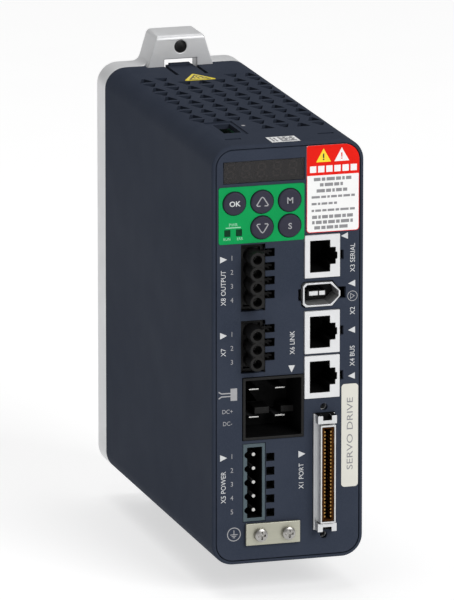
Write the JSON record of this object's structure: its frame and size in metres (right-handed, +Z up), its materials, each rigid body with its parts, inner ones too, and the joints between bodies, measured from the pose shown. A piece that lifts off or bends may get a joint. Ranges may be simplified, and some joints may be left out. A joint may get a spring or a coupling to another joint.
{
  "type": "servo drive",
  "caption": "Slim panel-mounted servo drive: vented housing on a heatsink plate, keypad and display, sprung keys, pull-off plugs, network jacks.",
  "frame": {"origin": "centre of the heatsink's back face, where it meets the mounting panel", "axes": "+X to the right seen from the front, +Y into the mounting panel (the front looks towards -Y), +Z up, along the housing's height"},
  "size_m": [0.0552, 0.1524, 0.173],
  "materials": {
    "housing_plastic": "fine moulded texture, dark blue-grey",
    "heatsink_alloy": "satin die-cast",
    "smoked_window": "polished smoked",
    "keypad_film": "printed film",
    "key_plastic": "fine moulded",
    "board_laminate": "green solder mask",
    "component_dark": "moulded epoxy",
    "lens_plastic": "polished",
    "label_white": "printed label",
    "label_yellow": "printed label",
    "terminal_black": "glass-filled nylon",
    "header_grey": "glass-filled nylon",
    "jack_plastic": "moulded",
    "insert_brown": "moulded",
    "connector_steel": "nickel plated",
    "tinned_copper": "tin plated",
    "gold_contact": "gold flash",
    "earth_plate": "zinc plated",
    "screw_steel": "zinc plated",
    "brass_post": "nickel plated brass",
    "thermal_pad": "soft pad",
    "capacitor_sleeve": "shrink sleeve",
    "film_yellow": "epoxy filled",
    "choke_winding": "enamelled wire",
    "resistor_case": "anodised",
    "fuse_ceramic": "glazed"
  },
  "bodies": {
    "drive": {"housing_shell": "housing_plastic", "front_cover": "housing_plastic", "heatsink_base": "heatsink_alloy", "display_window": "smoked_window", "keypad_overlay": "keypad_film", "hmi_board": "board_laminate", "control_board": "board_laminate", "power_board": "board_laminate", "key_switches": "component_dark", "display_module": "component_dark", "control_chips": "component_dark", "power_module": "component_dark", "rectifier_bridge": "component_dark", "current_sensors": "component_dark", "board_connector": "component_dark", "smps_transformer": "component_dark", "led_lenses": "lens_plastic", "notice_label": "label_white", "model_label": "label_white", "code_label": "label_white", "rating_label": "label_white", "hot_surface_sticker": "label_yellow", "motor_header": "terminal_black", "brake_header": "terminal_black", "dc_bus_socket": "terminal_black", "encoder_insert": "terminal_black", "mains_header": "header_grey", "rj45_jack_upper": "jack_plastic", "rj45_jack_middle": "jack_plastic", "rj45_jack_lower": "jack_plastic", "io_connector_insert": "insert_brown", "encoder_shell": "connector_steel", "io_connector_shell": "connector_steel", "io_screw_locks": "connector_steel", "dc_bus_contacts": "tinned_copper", "header_pins": "tinned_copper", "encoder_contacts": "tinned_copper", "rj45_contacts": "gold_contact", "io_connector_contacts": "gold_contact", "ground_bracket": "earth_plate", "ground_screws": "screw_steel", "module_screws": "screw_steel", "board_screws": "screw_steel", "board_standoffs": "brass_post", "thermal_pads": "thermal_pad", "dc_link_capacitors": "capacitor_sleeve", "inrush_relay": "capacitor_sleeve", "film_capacitors": "film_yellow", "common_mode_choke": "choke_winding", "braking_resistor": "resistor_case", "input_fuse": "fuse_ceramic"},
    "key_ok": {"button_ok": "key_plastic"},
    "key_up": {"button_up": "key_plastic"},
    "key_mode": {"button_mode": "key_plastic"},
    "key_down": {"button_down": "key_plastic"},
    "key_set": {"button_set": "key_plastic"},
    "motor_plug_body": {"motor_plug": "terminal_black", "motor_plug_clamps": "tinned_copper"},
    "brake_plug_body": {"brake_plug": "terminal_black", "brake_plug_clamps": "tinned_copper"}
  },
  "joints": [
    {"name": "press_ok", "type": "slide", "parent": "drive", "child": "key_ok", "axis": [0, 1, 0], "range_m": [0, 0.0008], "stiffness_N_per_m": 1000, "springref_m": -0.0004},
    {"name": "press_up", "type": "slide", "parent": "drive", "child": "key_up", "axis": [0, 1, 0], "range_m": [0, 0.0008], "stiffness_N_per_m": 1000, "springref_m": -0.0004},
    {"name": "press_mode", "type": "slide", "parent": "drive", "child": "key_mode", "axis": [0, 1, 0], "range_m": [0, 0.0008], "stiffness_N_per_m": 1000, "springref_m": -0.0004},
    {"name": "press_down", "type": "slide", "parent": "drive", "child": "key_down", "axis": [0, 1, 0], "range_m": [0, 0.0008], "stiffness_N_per_m": 1000, "springref_m": -0.0004},
    {"name": "press_set", "type": "slide", "parent": "drive", "child": "key_set", "axis": [0, 1, 0], "range_m": [0, 0.0008], "stiffness_N_per_m": 1000, "springref_m": -0.0004},
    {"name": "unplug_motor", "type": "slide", "parent": "drive", "child": "motor_plug_body", "axis": [0, -1, 0], "range_m": [0, 0.016]},
    {"name": "unplug_brake", "type": "slide", "parent": "drive", "child": "brake_plug_body", "axis": [0, -1, 0], "range_m": [0, 0.016]}
  ]
}
